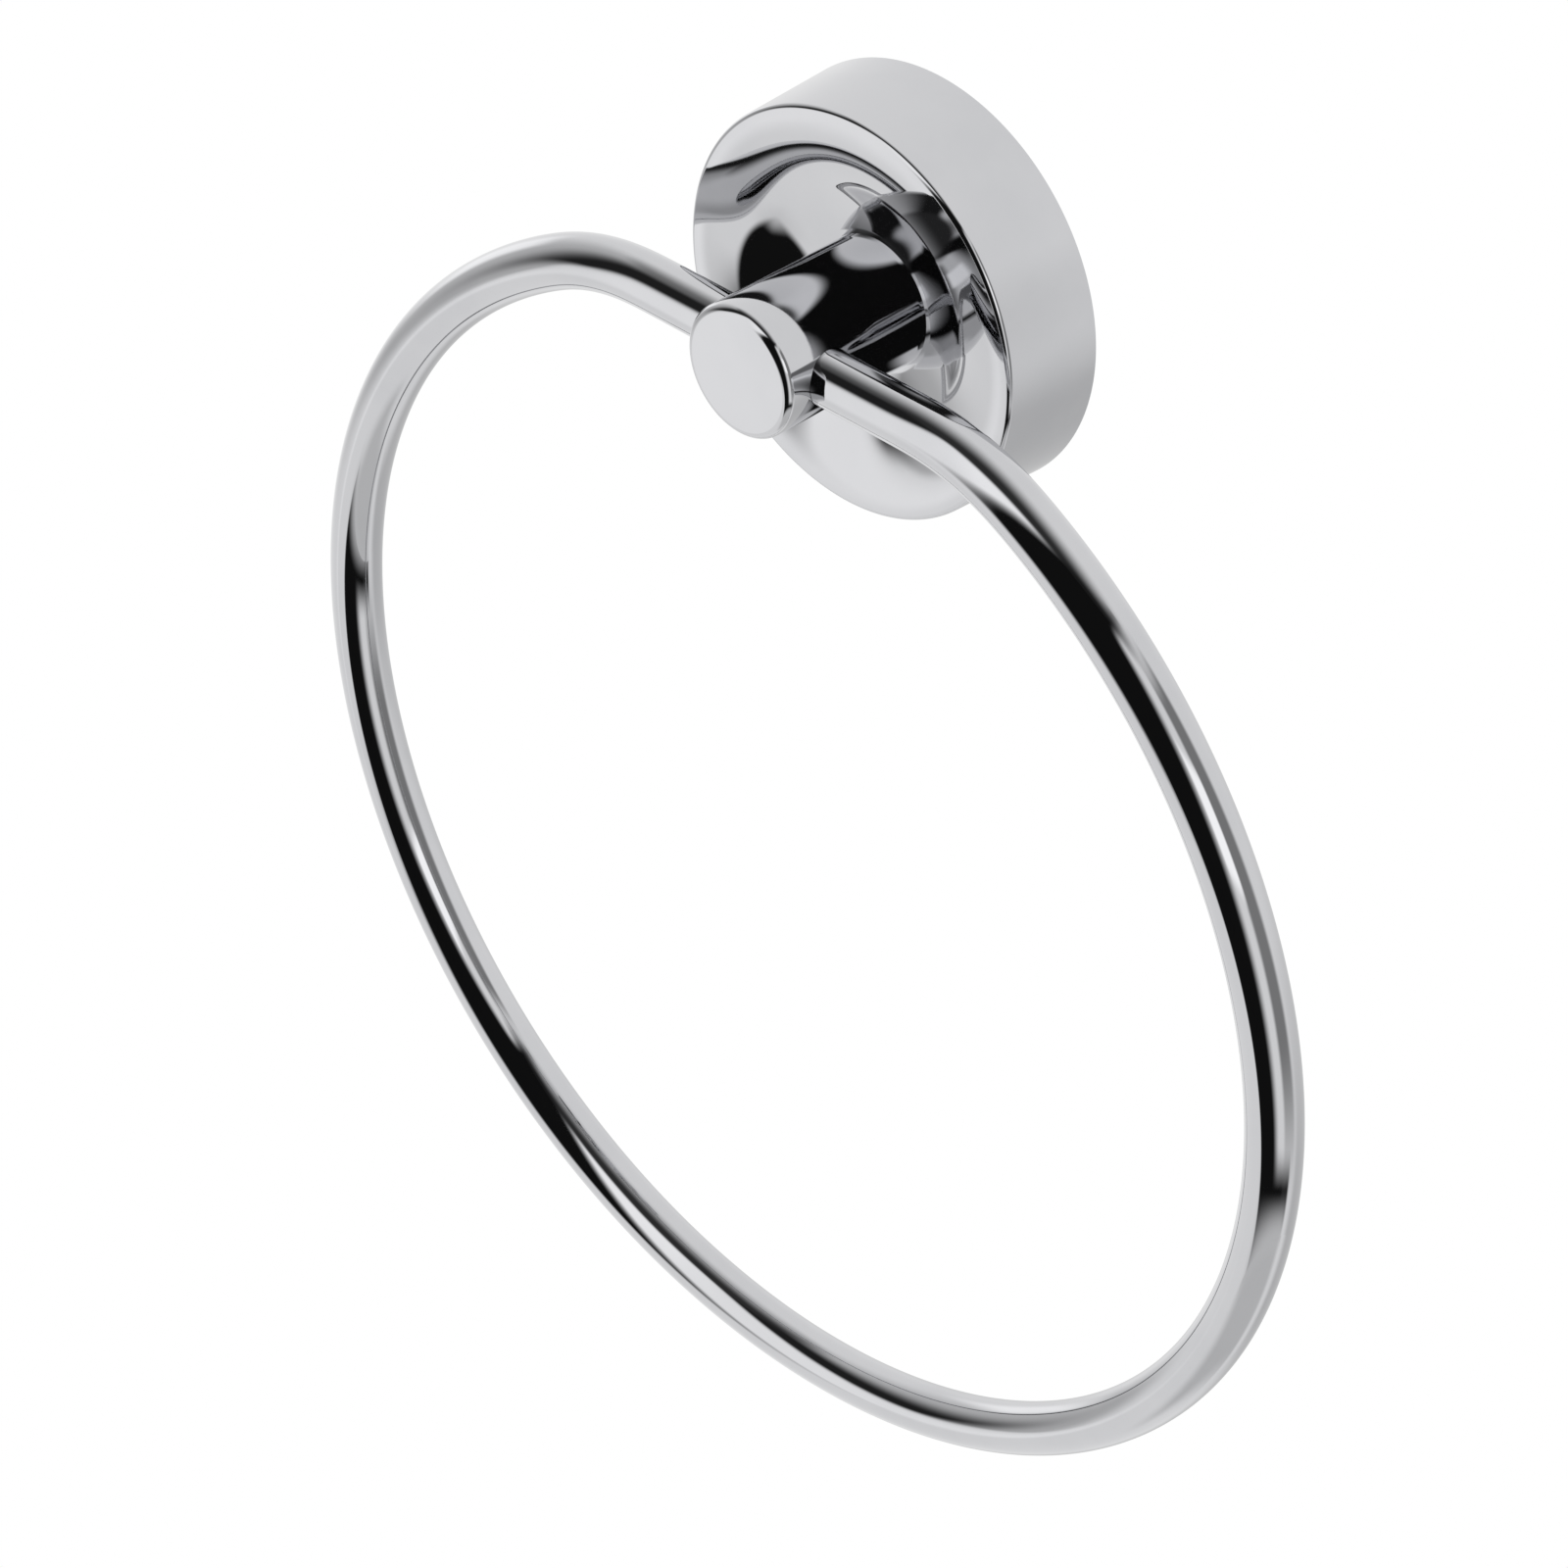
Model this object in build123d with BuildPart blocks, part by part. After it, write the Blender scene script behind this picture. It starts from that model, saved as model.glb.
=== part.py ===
"""Towel ring: a round wall rosette, a turned post and a bent ring that swings in the post."""
from build123d import *
import math
import os

os.makedirs("parts", exist_ok=True)

# Driving sizes in millimetres. The wall is the plane y = 0 and the room lies towards -Y.
# The post's axis is the line x = 0, z = 0, and the ring hangs down along -Z.

# Rosette
rosette_diameter = 54.0
rosette_depth = 14.0
rosette_taper = 0.7
rosette_wall = 3.0
rosette_edge_radius = 0.6
face_thickness = 2.6
land_width = 1.0
shoulder_radius = 22.0
bowl_radius = 34.0
inner_corner_radius = 1.0

# Post
post_diameter = 17.0
post_reach = 32.0
post_edge_radius = 1.0
spigot_diameter = 10.0
spigot_length = 1.5
seat_margin = 0.5

# Ring
bar_diameter = 7.0
ring_width = 170.0
ring_straight_length = 44.0
ring_corner_radius = 34.0
ring_stand_off = 25.0
ring_end_chamfer = 0.4
bore_web = 2.0

# Post screw and washer
screw_diameter = 6.0
screw_length = 10.0
screw_head_diameter = 10.0
screw_head_height = 4.0
screw_socket_flats = 5.0
screw_socket_depth = 2.4
screw_edge = 0.4
screw_hole_spare_depth = 0.8
washer_diameter = 11.8
washer_thickness = 1.6

# Wall plate
plate_thickness = 5.0
plate_edge = 0.6
plate_centre_hole = 16.0
wall_hole_diameter = 4.5
wall_hole_head_diameter = 8.6
wall_hole_spacing = 31.0

# Grub screw
grub_diameter = 4.0
grub_length = 4.0
grub_height = 2.6
grub_socket_flats = 2.0
grub_socket_depth = 1.8
grub_edge = 0.4
grub_pocket_depth = 1.2

# Clearances
running_clearance = 0.05
end_clearance = 0.1
spigot_clearance = 0.1
thread_clearance = 0.05
screw_hole_clearance = 0.3
washer_clearance = 0.2
plate_clearance = 0.3
pocket_clearance = 0.3

# Places worked out from the driving sizes
rosette_radius = rosette_diameter / 2
rosette_front_radius = rosette_radius - rosette_taper
rosette_inner_radius = rosette_radius - rosette_wall
shoulder_centre_radius = rosette_front_radius - land_width
shoulder_centre_y = shoulder_radius - rosette_depth
turn_angle = math.asin(shoulder_centre_radius / (bowl_radius + shoulder_radius))
bowl_centre_y = shoulder_centre_y - (bowl_radius + shoulder_radius) * math.cos(turn_angle)
shoulder_back_radius = shoulder_radius - face_thickness
bowl_back_radius = bowl_radius + face_thickness
inner_corner_y = shoulder_centre_y - math.sqrt(
    shoulder_back_radius**2 - (shoulder_centre_radius - rosette_inner_radius) ** 2
)

post_radius = post_diameter / 2
seat_radius = post_radius + seat_margin
seat_y = bowl_centre_y + math.sqrt(bowl_radius**2 - seat_radius**2)
face_back_y = seat_y + face_thickness
seat_back_radius = math.sqrt(bowl_back_radius**2 - (face_back_y - bowl_centre_y) ** 2)
spigot_radius = spigot_diameter / 2
spigot_end_y = seat_y + spigot_length

bar_radius = bar_diameter / 2
ring_radius = ring_width / 2 - bar_radius
ring_half_straight = ring_straight_length / 2
ring_end_x = bore_web / 2 + end_clearance
corner_reach = ring_radius - ring_corner_radius
ring_centre_drop = ring_corner_radius + math.sqrt(corner_reach**2 - ring_half_straight**2)
corner_angle = math.degrees(math.asin(ring_half_straight / corner_reach))
bore_radius = bar_radius + running_clearance

screw_radius = screw_diameter / 2
washer_back_y = face_back_y + washer_thickness
screw_tip_y = washer_back_y - screw_length
thread_end_y = screw_tip_y - screw_hole_spare_depth

plate_radius = rosette_inner_radius - plate_clearance
grub_radius = grub_diameter / 2
pocket_floor_z = -(plate_radius - grub_pocket_depth)

facing_room = (0, -1, 0)
facing_wall = (0, 1, 0)
facing_down = (0, 0, -1)


# Rosette: a cup whose face falls from the rim in one smooth S to a round bowl, the same thickness all along
turn_x = bowl_radius * math.sin(turn_angle)
turn_y = bowl_centre_y + bowl_radius * math.cos(turn_angle)
back_turn_x = bowl_back_radius * math.sin(turn_angle)
back_turn_y = bowl_centre_y + bowl_back_radius * math.cos(turn_angle)
with BuildPart() as rosette:
    with BuildSketch(Plane.XY) as half_section:
        with BuildLine():
            side = Line((rosette_radius, 0), (rosette_front_radius, -rosette_depth))
            land = Line(side @ 1, (shoulder_centre_radius, -rosette_depth))
            shoulder = RadiusArc(land @ 1, (turn_x, turn_y), shoulder_radius)
            bowl = RadiusArc(shoulder @ 1, (seat_radius, seat_y), -bowl_radius)
            seat = Polyline(bowl @ 1, (0, seat_y), (0, face_back_y), (seat_back_radius, face_back_y))
            bowl_back = RadiusArc(seat @ 1, (back_turn_x, back_turn_y), bowl_back_radius)
            shoulder_back = RadiusArc(bowl_back @ 1, (rosette_inner_radius, inner_corner_y), -shoulder_back_radius)
            Polyline(shoulder_back @ 1, (rosette_inner_radius, 0), side @ 0)
        make_face()
        fillet(half_section.vertices().sort_by_distance(side @ 1)[0], radius=rosette_edge_radius)
        fillet(half_section.vertices().sort_by_distance(shoulder_back @ 1)[0], radius=inner_corner_radius)
    revolve(axis=Axis.Y)
    with Locations(Plane(origin=(0, seat_y, 0), z_dir=facing_room)):
        CounterBoreHole(
            radius=screw_radius + screw_hole_clearance,
            counter_bore_radius=spigot_radius + spigot_clearance,
            counter_bore_depth=spigot_length + spigot_clearance,
        )
    with Locations(Plane(origin=(0, -grub_height, -rosette_radius), z_dir=facing_down)):
        Hole(radius=grub_radius + thread_clearance, depth=rosette_wall + plate_clearance)
rosette.part.label = "rosette"
export_step(rosette.part, "parts/rosette.step")


# Post: turned, with a spigot at the back and a blind bore from each side for the ring's ends
with BuildPart() as post:
    with BuildSketch(Plane.XY):
        with BuildLine():
            Polyline(
                (0, -post_reach),
                (post_radius, -post_reach),
                (post_radius, seat_y),
                (spigot_radius, seat_y),
                (spigot_radius, spigot_end_y),
                (0, spigot_end_y),
                close=True,
            )
        make_face()
    revolve(axis=Axis.Y)
    fillet(post.edges().filter_by(GeomType.CIRCLE).sort_by(Axis.Y)[0], radius=post_edge_radius)
    for side_sign in (-1, 1):
        mouth = Plane(origin=(side_sign * post_radius, -ring_stand_off, 0), z_dir=(side_sign, 0, 0))
        with Locations(mouth):
            Hole(radius=bore_radius, depth=post_radius - bore_web / 2)
    with Locations(Plane(origin=(0, spigot_end_y, 0), z_dir=facing_wall)):
        Hole(radius=screw_radius + thread_clearance, depth=spigot_end_y - thread_end_y)
post.part.label = "post"
export_step(post.part, "parts/post.step")


# Ring: one round bar bent in the plane of the loop, its two ends facing each other in the post
with BuildPart() as ring:
    with BuildLine(Plane.XZ.offset(ring_stand_off)) as ring_path:
        Line((ring_end_x, 0), (ring_half_straight, 0))
        CenterArc((ring_half_straight, -ring_corner_radius), ring_corner_radius, 90, -corner_angle)
        CenterArc((0, -ring_centre_drop), ring_radius, 90 - corner_angle, 2 * corner_angle - 360)
        CenterArc((-ring_half_straight, -ring_corner_radius), ring_corner_radius, 90 + corner_angle, -corner_angle)
        Line((-ring_half_straight, 0), (-ring_end_x, 0))
    with BuildSketch(Plane(origin=(ring_end_x, -ring_stand_off, 0), z_dir=(1, 0, 0))):
        Circle(bar_radius)
    sweep()
    end_circles = ring.faces().filter_by(Axis.X).edges()
    chamfer(end_circles, length=ring_end_chamfer)
ring.part.label = "ring"
export_step(ring.part, "parts/ring.step")


# Post screw: socket-head screw from inside the rosette into the post
with BuildPart() as post_screw:
    with BuildSketch(Plane.XZ.offset(-washer_back_y)):
        Circle(screw_head_diameter / 2)
    extrude(amount=-screw_head_height)
    with BuildSketch(Plane.XZ.offset(-washer_back_y)):
        Circle(screw_radius)
    extrude(amount=screw_length)
    end_circles = post_screw.edges().filter_by(GeomType.CIRCLE).sort_by(Axis.Y)
    chamfer([end_circles[0], end_circles[-1]], length=screw_edge)
    with BuildSketch(Plane(origin=(0, washer_back_y + screw_head_height, 0), z_dir=facing_wall)):
        RegularPolygon(radius=screw_socket_flats / 2, side_count=6, major_radius=False)
    extrude(amount=-screw_socket_depth, mode=Mode.SUBTRACT)
post_screw.part.label = "post_screw"
export_step(post_screw.part, "parts/post_screw.step")


# Post washer: flat ring between the rosette and the screw's head
with BuildPart() as post_washer:
    with BuildSketch(Plane.XZ.offset(-washer_back_y)):
        Circle(washer_diameter / 2)
        Circle(screw_radius + washer_clearance, mode=Mode.SUBTRACT)
    extrude(amount=washer_thickness)
post_washer.part.label = "post_washer"
export_step(post_washer.part, "parts/post_washer.step")


# Wall plate: round plate with two countersunk holes and a pocket for the grub screw's tip
with BuildPart() as wall_plate:
    with BuildSketch(Plane.XZ):
        Circle(plate_radius)
        Circle(plate_centre_hole / 2, mode=Mode.SUBTRACT)
    extrude(amount=plate_thickness)
    front_circles = wall_plate.edges().filter_by(GeomType.CIRCLE).group_by(Axis.Y)[0]
    chamfer(front_circles, length=plate_edge)
    with Locations(Plane(origin=(0, -plate_thickness, 0), x_dir=(1, 0, 0), z_dir=facing_room)):
        with GridLocations(wall_hole_spacing, 0, 2, 1):
            CounterSinkHole(
                radius=wall_hole_diameter / 2,
                counter_sink_radius=wall_hole_head_diameter / 2,
                counter_sink_angle=90,
            )
    with Locations(Plane(origin=(0, -grub_height, -plate_radius), z_dir=facing_down)):
        Hole(radius=grub_radius + pocket_clearance, depth=grub_pocket_depth)
wall_plate.part.label = "wall_plate"
export_step(wall_plate.part, "parts/wall_plate.step")


# Grub screw: headless screw through the underside of the rosette, its tip on the pocket's floor
with BuildPart() as grub_screw:
    with BuildSketch(Plane(origin=(0, -grub_height, pocket_floor_z), z_dir=facing_down)):
        Circle(grub_radius)
    extrude(amount=grub_length)
    chamfer(grub_screw.edges().filter_by(GeomType.CIRCLE), length=grub_edge)
    with BuildSketch(Plane(origin=(0, -grub_height, pocket_floor_z - grub_length), z_dir=facing_down)):
        RegularPolygon(radius=grub_socket_flats / 2, side_count=6, major_radius=False)
    extrude(amount=-grub_socket_depth, mode=Mode.SUBTRACT)
grub_screw.part.label = "grub_screw"
export_step(grub_screw.part, "parts/grub_screw.step")
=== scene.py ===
import math

import bmesh
import bpy
from mathutils import Matrix, Vector


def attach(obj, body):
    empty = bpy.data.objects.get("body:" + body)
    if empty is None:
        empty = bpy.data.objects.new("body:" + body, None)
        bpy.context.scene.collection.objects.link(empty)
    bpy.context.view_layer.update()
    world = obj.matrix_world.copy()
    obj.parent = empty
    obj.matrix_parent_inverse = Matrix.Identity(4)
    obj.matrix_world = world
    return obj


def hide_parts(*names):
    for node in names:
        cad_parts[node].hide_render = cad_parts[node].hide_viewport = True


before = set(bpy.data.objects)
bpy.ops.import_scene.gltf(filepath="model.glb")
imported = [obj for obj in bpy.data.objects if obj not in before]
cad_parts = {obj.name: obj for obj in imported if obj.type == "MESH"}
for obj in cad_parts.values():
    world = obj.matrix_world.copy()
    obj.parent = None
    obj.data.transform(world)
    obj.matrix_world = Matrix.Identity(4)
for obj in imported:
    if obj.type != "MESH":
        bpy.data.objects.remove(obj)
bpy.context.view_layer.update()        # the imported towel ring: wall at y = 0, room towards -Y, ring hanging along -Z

# Sizes are in metres and the post's axis is the line x = 0, z = 0

# Camera, fitted to the photograph's view
camera_azimuth = 45.14
camera_elevation = 37.23
camera_distance = 0.5912
camera_aim = Vector((-0.0003, -0.0240, -0.0641))
camera_lens = 108.65
camera_sensor = 36.0

# Clearances between the pieces
running_clearance = 0.00005
end_clearance = 0.0001
spigot_clearance = 0.0001
thread_clearance = 0.00005
screw_hole_clearance = 0.0003

# Ring: the bar's centre line is straight in the post, then a bend, then one large arc, all at one stand-off
bar_radius = 0.0035
bore_web = 0.002
ring_end = bore_web / 2 + end_clearance
ring_half_straight = 0.022
ring_bend_radius = 0.034
ring_arc_radius = 0.0815
ring_stand_off = 0.025

# Post, with the screw that holds it from behind
post_radius = 0.0085
post_reach = 0.032
post_edge = 0.001
ring_bore_radius = bar_radius + running_clearance
spigot_radius = 0.005
spigot_length = 0.0015
screw_radius = 0.003
thread_bore_radius = screw_radius + thread_clearance
thread_bore_depth = 0.0081

# Rosette: a cup whose face falls from the rim in one S, a convex shoulder and then a concave bowl
rosette_radius = 0.027
rosette_taper = 0.0007
rosette_wall = 0.003
rosette_front_radius = rosette_radius - rosette_taper
rosette_inner_radius = rosette_radius - rosette_wall
rosette_depth = 0.014
rosette_edge = 0.0006
rosette_inner_corner = 0.001
face_thickness = 0.0026
land_width = 0.001
shoulder_radius = 0.022
bowl_radius = 0.034
seat_margin = 0.0005
seat_radius = post_radius + seat_margin
spigot_bore_radius = spigot_radius + spigot_clearance
spigot_bore_depth = spigot_length + spigot_clearance
screw_bore_radius = screw_radius + screw_hole_clearance
grub_radius = 0.002
grub_bore_radius = grub_radius + thread_clearance
grub_height = 0.0026

# Places in the rosette's half section: the two arcs' centres, the angle where they meet, and the post's seat
shoulder_centre = (rosette_front_radius - land_width, shoulder_radius - rosette_depth)
face_turn = math.asin(shoulder_centre[0] / (bowl_radius + shoulder_radius))
bowl_centre = (0, shoulder_centre[1] - (bowl_radius + shoulder_radius) * math.cos(face_turn))
seat_y = bowl_centre[1] + math.sqrt(bowl_radius**2 - seat_radius**2)

# Fineness of the meshes
ring_step = 0.0005
bar_sides = 64
bend_easing = 24
turning_step = 0.0003
turning_sides = 256
edge_steps = 12
edge_guard = 0.00002
seam_gap = 0.0000001
drill_sides = 64
drill_overrun = 0.0005
crease_angle = 30.0

# Finishes
chrome_clear = (0.59, 0.592, 0.607, 1.0)
chrome_hazed = (0.56, 0.563, 0.58, 1.0)
steel_clear = (0.56, 0.57, 0.59, 1.0)
steel_clouded = (0.47, 0.48, 0.49, 1.0)
floor_colour = (0.86, 0.86, 0.86, 1.0)
white = (1.0, 1.0, 1.0, 1.0)

# Stage: a pale round floor well below the ring, out of the light's way
floor_drop = 1.1
floor_radius = 0.92
floor_sides = 128

# Studio: brightness of each region, where 1 is a white wall
grey_wall_level = 0.6
dark_gap_level = 0.02
ceiling_front_level = 0.04
softbox_level = 1.18
softbox_right_gain = 0.15
opening_level = 0.008
right_wall_level = 0.28
right_lamp_level = 1.5
small_lamp_level = 1.3
front_floor_level = 0.7
behind_level = 0.65

# Studio: straight edges, each a plane through the part, by its normal
softbox_right_edge = (-0.808, 0.287, 0.515)
softbox_left_edge = (0.707, -0.670, -0.224)
card_top_edge = (0.797, 0.047, -0.603)

# Studio: how many degrees deeper the black opening reaches on its right
opening_drop = 22.0


class Socket:
    """One output of a node, with arithmetic that adds Math nodes to its tree."""

    def __init__(self, nodes, link):
        self.nodes = nodes
        self.link = link

    def __add__(self, other):
        return self.nodes.maths("ADD", self, other)

    __radd__ = __add__

    def __sub__(self, other):
        return self.nodes.maths("SUBTRACT", self, other)

    def __rsub__(self, other):
        return self.nodes.maths("SUBTRACT", other, self)

    def __mul__(self, other):
        return self.nodes.maths("MULTIPLY", self, other)

    __rmul__ = __mul__

    def __truediv__(self, other):
        return self.nodes.maths("DIVIDE", self, other)

    def __neg__(self):
        return self.nodes.maths("MULTIPLY", self, -1.0)

    def ramp(self, start, end):
        """0 on start's side, 1 on end's side, smooth between; start may be the higher one."""
        settings = {"interpolation_type": "SMOOTHSTEP"}
        inputs = {"Value": self, "From Min": start, "From Max": end}
        return self.nodes.add("ShaderNodeMapRange", settings, inputs)

    def window(self, start, full, fade, end):
        """1 from full to fade, 0 before start and after end."""
        return self.ramp(start, full) * self.ramp(end, fade)

    def towards(self, value, share):
        """This value moved to another by a share from 0 to 1."""
        inputs = {"Factor": share, "A": self, "B": value}
        return self.nodes.add("ShaderNodeMix", {"data_type": "FLOAT"}, inputs, output="Result")

    def beside(self, output):
        """Another output of the same node."""
        return Socket(self.nodes, self.link.node.outputs[output])


class Nodes:
    """A node tree that hands out Socket wrappers."""

    def __init__(self, tree):
        self.tree = tree
        self.tree.nodes.clear()

    def add(self, kind, settings=None, inputs=None, output=0):
        """A node with its settings made first, then its sockets' values or links."""
        node = self.tree.nodes.new(kind)
        for name, value in (settings or {}).items():
            setattr(node, name, value)
        for name, value in (inputs or {}).items():
            socket = node.inputs[name]
            if isinstance(value, Socket):
                self.tree.links.new(value.link, socket)
            else:
                socket.default_value = value
        if not node.outputs:
            return node
        return Socket(self, node.outputs[output])

    def maths(self, operation, *values):
        """A Math node on sockets or numbers."""
        return self.add("ShaderNodeMath", {"operation": operation}, dict(enumerate(values)))


def new_material(name):
    """An empty material and its nodes."""
    material = bpy.data.materials.new(name)
    material.use_nodes = True
    return material, Nodes(material.node_tree)


def metal(nodes, tone, roughness, bump):
    """Ends a metal's nodes with its shader."""
    inputs = {"Base Color": tone, "Metallic": 1.0, "Roughness": roughness, "Normal": bump}
    finish = nodes.add("ShaderNodeBsdfPrincipled", None, inputs)
    nodes.add("ShaderNodeOutputMaterial", None, {"Surface": finish})


def polished_chrome():
    """Bright plating: a near mirror with a faint wiping haze, a fine grain and a very slight waviness."""
    material, nodes = new_material("polished_chrome")
    place = nodes.add("ShaderNodeTexCoord", output="Object")
    haze = nodes.add(
        "ShaderNodeTexNoise", None, {"Vector": place, "Scale": 45.0, "Detail": 4.0, "Roughness": 0.6}
    )
    grain = nodes.add("ShaderNodeTexNoise", None, {"Vector": place, "Scale": 1800.0, "Detail": 2.0})
    waves = nodes.add("ShaderNodeTexNoise", None, {"Vector": place, "Scale": 160.0, "Detail": 1.0})
    tone = nodes.add(
        "ShaderNodeMix",
        {"data_type": "RGBA"},
        {"Factor": haze.ramp(0.35, 0.7), "A": chrome_clear, "B": chrome_hazed},
        output="Result",
    )
    bump = nodes.add("ShaderNodeBump", None, {"Strength": 1.0, "Distance": 0.000002, "Height": waves})
    metal(nodes, tone, 0.02 + haze.ramp(0.45, 0.8) * 0.03 + grain * 0.02, bump)
    return material


def plain_steel():
    """Plated steel behind the rosette: a dull grey sheen with fine rolling lines along X."""
    material, nodes = new_material("plain_steel")
    place = nodes.add("ShaderNodeTexCoord", output="Object")
    stretched = nodes.add("ShaderNodeMapping", None, {"Vector": place, "Scale": (60.0, 2500.0, 2500.0)})
    lines = nodes.add("ShaderNodeTexNoise", None, {"Vector": stretched, "Scale": 1.0, "Detail": 3.0})
    cloud = nodes.add("ShaderNodeTexNoise", None, {"Vector": place, "Scale": 220.0, "Detail": 4.0})
    tone = nodes.add(
        "ShaderNodeMix",
        {"data_type": "RGBA"},
        {"Factor": cloud.ramp(0.3, 0.75), "A": steel_clear, "B": steel_clouded},
        output="Result",
    )
    bump = nodes.add("ShaderNodeBump", None, {"Strength": 0.35, "Distance": 0.00002, "Height": lines})
    metal(nodes, tone, 0.3 + lines * 0.12 + cloud * 0.1, bump)
    return material


def new_tree(name, inputs):
    """A Geometry Nodes tree with named inputs: its nodes, and the geometry that it is given."""
    tree = bpy.data.node_groups.new(name, "GeometryNodeTree")
    kinds = {"Geometry": "NodeSocketGeometry", **inputs, "Material": "NodeSocketMaterial"}
    for label, kind in kinds.items():
        tree.interface.new_socket(name=label, in_out="INPUT", socket_type=kind)
    tree.interface.new_socket(name="Geometry", in_out="OUTPUT", socket_type="NodeSocketGeometry")
    nodes = Nodes(tree)
    return nodes, nodes.add("NodeGroupInput", output="Geometry")


def end_tree(nodes, given, shape):
    """Ends a Geometry Nodes tree with the shape made real and in its material."""
    real = nodes.add("GeometryNodeRealizeInstances", None, {"Geometry": shape})
    inputs = {"Geometry": real, "Material": given.beside("Material")}
    nodes.add("NodeGroupOutput", None, {"Geometry": nodes.add("GeometryNodeSetMaterial", None, inputs)})
    return nodes.tree


def poly_curve(name, points):
    """A curve of straight runs through points, for a Geometry Nodes tree to work on."""
    curve = bpy.data.curves.new(name, "CURVE")
    curve.dimensions = "3D"
    spline = curve.splines.new("POLY")
    spline.points.add(len(points) - 1)
    for place, point in zip(spline.points, points):
        place.co = (*point, 1.0)
    return curve


def made_by_nodes(name, curve, tree, values):
    """A plain mesh object made by a Geometry Nodes tree from a curve."""
    carrier = bpy.data.objects.new(name + "_carrier", curve)
    bpy.context.scene.collection.objects.link(carrier)
    modifier = carrier.modifiers.new(tree.name, "NODES")
    modifier.node_group = tree
    for item in tree.interface.items_tree:
        if item.in_out == "INPUT" and item.name in values:
            modifier[item.identifier] = values[item.name]
    seen = carrier.evaluated_get(bpy.context.evaluated_depsgraph_get())
    mesh = bpy.data.meshes.new_from_object(seen)
    bpy.data.objects.remove(carrier)
    mesh.shade_smooth()
    mesh.set_sharp_from_angle(angle=math.radians(crease_angle))
    piece = bpy.data.objects.new(name, mesh)
    bpy.context.scene.collection.objects.link(piece)
    return piece


def ring_route():
    """Points along the bar's centre line from one of its ends to the other."""
    reach = ring_arc_radius - ring_bend_radius
    turn = math.asin(ring_half_straight / reach)
    drop = ring_bend_radius + math.sqrt(reach**2 - ring_half_straight**2)
    bend_centre = Vector((ring_half_straight, -ring_stand_off, -ring_bend_radius))
    arc_centre = Vector((0, -ring_stand_off, -drop))
    straight = ring_half_straight - ring_end

    def shares(length):
        count = math.ceil(length / ring_step)
        return [i / count for i in range(1, count + 1)]

    def lean(angle):
        return Vector((math.sin(angle), 0, math.cos(angle)))

    half = [Vector((ring_end, -ring_stand_off, 0))]
    for share in shares(straight):
        half.append(Vector((ring_end + straight * share, -ring_stand_off, 0)))
    for share in shares(ring_bend_radius * turn):
        half.append(bend_centre + lean(turn * share) * ring_bend_radius)
    for share in shares(ring_arc_radius * (math.pi - turn)):
        half.append(arc_centre + lean(turn + (math.pi - turn) * share) * ring_arc_radius)
    return half + [Vector((-p.x, p.y, p.z)) for p in reversed(half[:-1])]


def bent_bar():
    """Geometry Nodes tree: eases a centre line's curvature and sweeps a round bar along it."""
    sizes = {"Bar Radius": "NodeSocketFloat", "Sides": "NodeSocketInt", "Easing": "NodeSocketInt"}
    nodes, given = new_tree("bent_bar", sizes)
    ends = nodes.add("GeometryNodeCurveEndpointSelection", None, {"Start Size": 1, "End Size": 1})
    eased = nodes.add(
        "GeometryNodeBlurAttribute",
        {"data_type": "FLOAT_VECTOR"},
        {
            "Value": nodes.add("GeometryNodeInputPosition"),
            "Iterations": given.beside("Easing"),
            "Weight": 1 - ends,
        },
    )
    line = nodes.add("GeometryNodeSetPosition", None, {"Geometry": given, "Position": eased})
    round_section = nodes.add(
        "GeometryNodeCurvePrimitiveCircle",
        {"mode": "RADIUS"},
        {"Resolution": given.beside("Sides"), "Radius": given.beside("Bar Radius")},
    )
    bar = nodes.add(
        "GeometryNodeCurveToMesh", None, {"Curve": line, "Profile Curve": round_section, "Fill Caps": True}
    )
    return end_tree(nodes, given, bar)


def swept_ring(material):
    """The ring as one continuous bar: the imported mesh's reflections break where its bends meet."""
    values = {"Bar Radius": bar_radius, "Sides": bar_sides, "Easing": bend_easing, "Material": material}
    ring = made_by_nodes("ring_bar", poly_curve("ring_route", ring_route()), bent_bar(), values)
    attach(ring, "ring")
    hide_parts("ring")


def arc(centre, radius, start, end):
    """Points along an arc of a half section, with angles from -Y towards +X."""
    count = math.ceil(radius * abs(end - start) / turning_step)
    angles = [start + (end - start) * i / count for i in range(count + 1)]
    return [Vector((centre[0] + radius * math.sin(t), centre[1] - radius * math.cos(t))) for t in angles]


def rounded(before, corner, after, radius):
    """Points of a rounded corner, with a close point on either side that keeps the neighbours flat."""
    corner = Vector(corner)
    back = (Vector(before) - corner).normalized()
    ahead = (Vector(after) - corner).normalized()
    half = back.angle(ahead) / 2
    reach = radius / math.tan(half)
    centre = corner + (back + ahead).normalized() * radius / math.sin(half)
    first = corner + back * reach - centre
    last = corner + ahead * reach - centre
    sweep = first.angle(last)
    points = [corner + back * (reach + edge_guard)]
    for i in range(edge_steps + 1):
        share = i / edge_steps
        lean = first * math.sin((1 - share) * sweep) + last * math.sin(share * sweep)
        points.append(centre + lean / math.sin(sweep))
    return points + [corner + ahead * (reach + edge_guard)]


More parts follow.
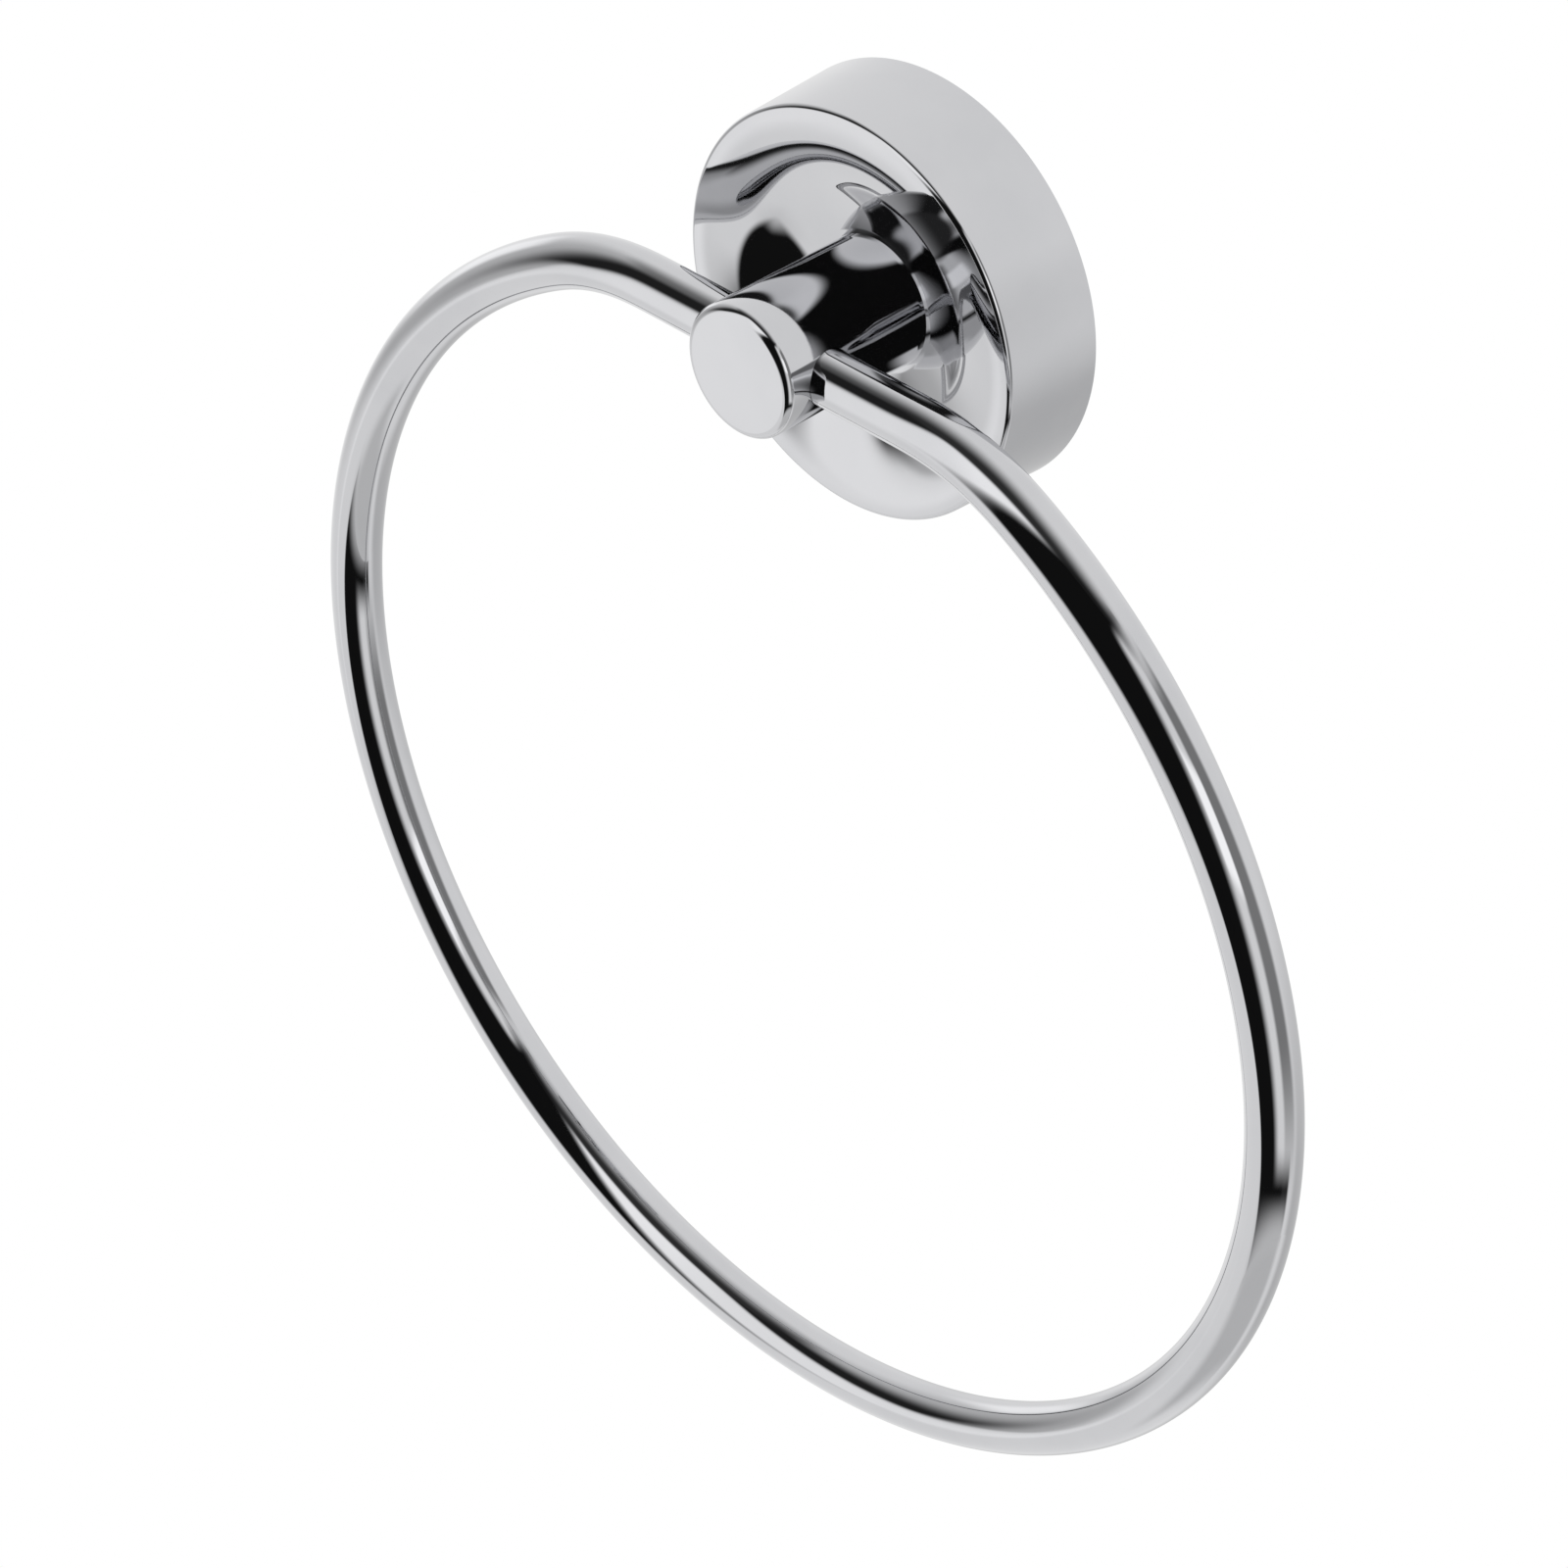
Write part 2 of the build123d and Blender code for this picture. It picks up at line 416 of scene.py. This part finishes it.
def rosette_outline():
    """Half section of the rosette, once round from the wall: side, land, S-shaped face, seat, hollow back."""
    foot = (rosette_radius, 0)
    front = (rosette_front_radius, -rosette_depth)
    land_end = (shoulder_centre[0], -rosette_depth)
    back_y = seat_y + face_thickness
    bowl_back = bowl_radius + face_thickness
    shoulder_back = shoulder_radius - face_thickness
    seat_angle = math.asin(seat_radius / bowl_radius)
    back_angle = math.acos((back_y - bowl_centre[1]) / bowl_back)
    fillet_x = rosette_inner_radius - rosette_inner_corner
    fillet_reach = shoulder_back - rosette_inner_corner
    fillet_angle = math.asin((shoulder_centre[0] - fillet_x) / fillet_reach)
    fillet_centre = (fillet_x, shoulder_centre[1] - fillet_reach * math.cos(fillet_angle))

    outline = [foot]
    outline += rounded(foot, front, land_end, rosette_edge)
    outline += arc(shoulder_centre, shoulder_radius, 0, -face_turn)
    outline += arc(bowl_centre, bowl_radius, math.pi - face_turn, math.pi - seat_angle)[1:]
    outline += [
        (spigot_bore_radius, seat_y),
        (spigot_bore_radius, seat_y + spigot_bore_depth),
        (screw_bore_radius, seat_y + spigot_bore_depth),
        (screw_bore_radius, back_y),
    ]
    outline += arc(bowl_centre, bowl_back, math.pi - back_angle, math.pi - face_turn)
    outline += arc(shoulder_centre, shoulder_back, -face_turn, -fillet_angle)[1:]
    outline += arc(fillet_centre, rosette_inner_corner, -fillet_angle, math.pi / 2)[1:]
    outline += [(rosette_inner_radius, 0), foot]
    return [Vector((x, y, 0)) for x, y in outline]


def post_outline():
    """Half section of the post from the middle of its front to the end of its threaded hole."""
    front = (0, -post_reach)
    seat = (post_radius, seat_y)
    spigot_end = seat_y + spigot_length
    thread_end = spigot_end - thread_bore_depth
    outline = [front]
    outline += rounded(front, (post_radius, -post_reach), seat, post_edge)
    outline += [
        seat,
        (spigot_radius, seat_y),
        (spigot_radius, spigot_end),
        (thread_bore_radius, spigot_end),
        (thread_bore_radius, thread_end),
        (0, thread_end),
    ]
    return [Vector((x, y, 0)) for x, y in outline]


def drills(holes):
    """Cylinders to cut away, each from a start to an end point with a radius."""
    shape = bmesh.new()
    for start, end, radius in holes:
        way = Vector(end) - Vector(start)
        place = Matrix.Translation((Vector(start) + Vector(end)) / 2)
        bmesh.ops.create_cone(
            shape,
            cap_ends=True,
            segments=drill_sides,
            radius1=radius,
            radius2=radius,
            depth=way.length,
            matrix=place @ way.to_track_quat("Z", "Y").to_matrix().to_4x4(),
        )
    mesh = bpy.data.meshes.new("drills")
    shape.to_mesh(mesh)
    shape.free()
    cutter = bpy.data.objects.new("drills", mesh)
    bpy.context.scene.collection.objects.link(cutter)
    return cutter


def turning():
    """Geometry Nodes tree: turns a half outline round the post's axis and drills holes in the result."""
    sizes = {"Points": "NodeSocketInt", "Sides": "NodeSocketInt", "Drills": "NodeSocketObject"}
    nodes, given = new_tree("turning", sizes)
    columns = given.beside("Sides") + 1
    grid_size = {"Vertices X": given.beside("Points"), "Vertices Y": columns}
    grid = nodes.add("GeometryNodeMeshGrid", None, grid_size)
    index = nodes.add("GeometryNodeInputIndex")
    row = nodes.maths("FLOOR", (index + 0.5) / columns)
    turn = (index - row * columns) * (2 * math.pi) / given.beside("Sides")
    on_outline = nodes.add(
        "GeometryNodeSampleIndex",
        {"data_type": "FLOAT_VECTOR", "domain": "POINT"},
        {"Geometry": given, "Value": nodes.add("GeometryNodeInputPosition"), "Index": row},
    )
    radius = nodes.add("ShaderNodeSeparateXYZ", None, {"Vector": on_outline}, output="X")
    place = nodes.add(
        "ShaderNodeCombineXYZ",
        None,
        {
            "X": radius * nodes.maths("COSINE", turn),
            "Y": radius.beside("Y"),
            "Z": radius * nodes.maths("SINE", turn),
        },
    )
    shell = nodes.add("GeometryNodeSetPosition", None, {"Geometry": grid, "Position": place})
    closed = nodes.add("GeometryNodeMergeByDistance", None, {"Geometry": shell, "Distance": seam_gap})
    cutters = nodes.add("GeometryNodeObjectInfo", None, {"Object": given.beside("Drills")}, output="Geometry")
    drilled = nodes.add(
        "GeometryNodeMeshBoolean",
        {"operation": "DIFFERENCE", "solver": "EXACT"},
        {"Mesh 1": closed, "Mesh 2": cutters},
        output="Mesh",
    )
    return end_tree(nodes, given, drilled)


def turned_piece(name, outline, holes, tree, material, node):
    """A piece turned from its half section and drilled, which stands for a CAD node."""
    cutter = drills(holes)
    values = {"Points": len(outline), "Sides": turning_sides, "Drills": cutter, "Material": material}
    piece = made_by_nodes(name, poly_curve(name + "_outline", outline), tree, values)
    bpy.data.objects.remove(cutter)
    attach(piece, "base")
    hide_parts(node)


def turned_rosette_and_post(material):
    """The two turned pieces with fine, even facets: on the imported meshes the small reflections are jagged."""
    tree = turning()
    grub_start = (0, -grub_height, -rosette_inner_radius + drill_overrun)
    grub_end = (0, -grub_height, -rosette_radius - drill_overrun)
    grub_bore = (grub_start, grub_end, grub_bore_radius)
    turned_piece("rosette_shell", rosette_outline(), [grub_bore], tree, material, "rosette")
    ring_bores = []
    for side in (-1, 1):
        floor = (side * bore_web / 2, -ring_stand_off, 0)
        mouth = (side * (post_radius + drill_overrun), -ring_stand_off, 0)
        ring_bores.append((floor, mouth, ring_bore_radius))
    turned_piece("post_turned", post_outline(), ring_bores, tree, material, "post")


def room_level(nodes, way):
    """How bright the studio is in a direction from the part: a white room, a tall softbox in front on
    the left, a black opening beside it and a ceiling that darkens towards the front.

    Azimuth 0 points out of the wall and +90 to the right along +X; elevation is above the horizon, both
    in degrees. Each region is a soft-edged window of these, or lies on one side of a straight edge.
    """
    x = nodes.add("ShaderNodeSeparateXYZ", None, {"Vector": way}, output="X")
    y = x.beside("Y")
    degrees = 180 / math.pi
    azimuth = nodes.maths("ARCTAN2", x, -y) * degrees
    elevation = nodes.maths("ARCSINE", x.beside("Z")) * degrees

    def past(edge):
        inputs = {0: way, 1: edge}
        return nodes.add("ShaderNodeVectorMath", {"operation": "DOT_PRODUCT"}, inputs, output="Value")

    right_edge = past(softbox_right_edge)
    left_edge = past(softbox_left_edge)

    grey_wall = azimuth.window(-120.0, -75.0, -52.0, -48.0) * elevation.ramp(-34.0, -19.0)
    level = 1.0 + (grey_wall_level - 1.0) * grey_wall

    dark_gap = azimuth.window(-82.0, -52.0, -30.0, -10.0) * elevation.ramp(-20.0, 0.0)
    level = level.towards(dark_gap_level, dark_gap * left_edge.ramp(0.07, -0.08))

    ceiling = ceiling_front_level + y.ramp(-0.40, 0.47) * (1.0 - ceiling_front_level)
    level = level.towards(ceiling, elevation.ramp(42.0, 52.0))

    softbox = azimuth.window(-70.0, -60.0, 60.0, 80.0) * elevation.window(-46.0, -30.0, 39.0, 55.0)
    softbox = softbox * left_edge.ramp(-0.05, 0.10) * right_edge.ramp(-0.05, 0.06)
    level = level.towards(softbox_level + azimuth.ramp(-30.0, -10.0) * softbox_right_gain, softbox)

    right_card = azimuth.ramp(38.0, 62.0) * elevation.ramp(-42.0, -34.0)
    right_card = right_card * past(card_top_edge).ramp(-0.02, 0.05)
    lower_edge = elevation + azimuth.ramp(-16.0, -3.0) * opening_drop
    opening = right_edge.ramp(0.05, -0.06) * azimuth.ramp(110.0, 100.0) * (1 - right_card)
    opening = opening * lower_edge.ramp(-32.0, -20.0) * elevation.ramp(60.0, 48.0)
    level = level.towards(opening_level, opening)

    right_wall = azimuth.window(73.0, 86.0, 112.0, 128.0) * elevation.window(-48.0, -16.0, 37.0, 48.0)
    level = level.towards(right_wall_level, right_wall)

    right_lamp = azimuth.window(52.0, 60.0, 78.0, 86.0) * elevation.window(4.0, 10.0, 24.0, 30.0)
    level = level.towards(right_lamp_level, right_lamp)

    small_lamp = azimuth.window(-122.0, -108.0, -100.0, -86.0) * elevation.window(-19.0, -6.0, 3.0, 16.0)
    level = level.towards(small_lamp_level, small_lamp)

    front_floor = azimuth.window(-20.0, 10.0, 90.0, 110.0) * elevation.window(-85.0, -70.0, -46.0, -38.0)
    level = level.towards(front_floor_level, front_floor * (1 - opening))

    sideways = nodes.maths("ABSOLUTE", azimuth)
    behind = sideways.ramp(112.0, 140.0) * elevation.window(-80.0, -60.0, -48.0, 0.0)
    return level.towards(behind_level, behind)


def studio_light():
    """The world is the studio; the camera sees it plain white."""
    world = bpy.data.worlds.new("studio")
    bpy.context.scene.world = world
    world.use_nodes = True
    nodes = Nodes(world.node_tree)
    level = room_level(nodes, nodes.add("ShaderNodeTexCoord", output="Generated"))
    seen = nodes.add("ShaderNodeLightPath", output="Is Camera Ray")
    room = nodes.add("ShaderNodeBackground", None, {"Color": white, "Strength": level.towards(1.0, seen)})
    nodes.add("ShaderNodeOutputWorld", None, {"Surface": room})


def pale_floor():
    """A round matt floor under the ring; the camera sees it white and the chrome mirrors the room there."""
    material, nodes = new_material("pale_floor")
    camera_ray = nodes.add("ShaderNodeLightPath", output="Is Camera Ray")
    glossy_ray = camera_ray.beside("Is Glossy Ray")
    seen = nodes.maths("MAXIMUM", camera_ray, glossy_ray)
    seen = nodes.maths("MAXIMUM", seen, camera_ray.beside("Is Transmission Ray"))
    matt = nodes.add("ShaderNodeBsdfDiffuse", None, {"Color": floor_colour})
    place = nodes.add("ShaderNodeNewGeometry", output="Position")
    way = nodes.add("ShaderNodeVectorMath", {"operation": "NORMALIZE"}, {0: place})
    strength = 1.0 + (room_level(nodes, way) - 1.0) * glossy_ray
    backdrop = nodes.add("ShaderNodeEmission", None, {"Color": white, "Strength": strength})
    both = nodes.add("ShaderNodeMixShader", None, {0: seen, 1: matt, 2: backdrop})
    nodes.add("ShaderNodeOutputMaterial", None, {"Surface": both})

    bpy.ops.mesh.primitive_circle_add(
        vertices=floor_sides, radius=floor_radius, fill_type="NGON", location=(0, 0, -floor_drop)
    )
    floor = bpy.context.object
    floor.name = "floor"
    floor.data.materials.append(material)


def photograph_camera():
    """The camera at the photograph's viewing angle."""
    azimuth = math.radians(camera_azimuth)
    elevation = math.radians(camera_elevation)
    back = Vector((
        math.sin(azimuth) * math.cos(elevation),
        -math.cos(azimuth) * math.cos(elevation),
        math.sin(elevation),
    ))
    data = bpy.data.cameras.new("camera")
    data.lens = camera_lens
    data.sensor_width = camera_sensor
    camera = bpy.data.objects.new("camera", data)
    camera.location = camera_aim + back * camera_distance
    camera.rotation_mode = "QUATERNION"
    camera.rotation_quaternion = (-back).to_track_quat("-Z", "Y")
    bpy.context.scene.collection.objects.link(camera)
    bpy.context.scene.camera = camera


chrome = polished_chrome()
steel = plain_steel()
finishes = {"polished_chrome": chrome, "plain_steel": steel}
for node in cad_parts.values():
    for place in node.material_slots:
        place.material = finishes[place.material.name]

swept_ring(chrome)
turned_rosette_and_post(chrome)
studio_light()
pale_floor()
photograph_camera()
bpy.context.scene.view_settings.view_transform = "Standard"
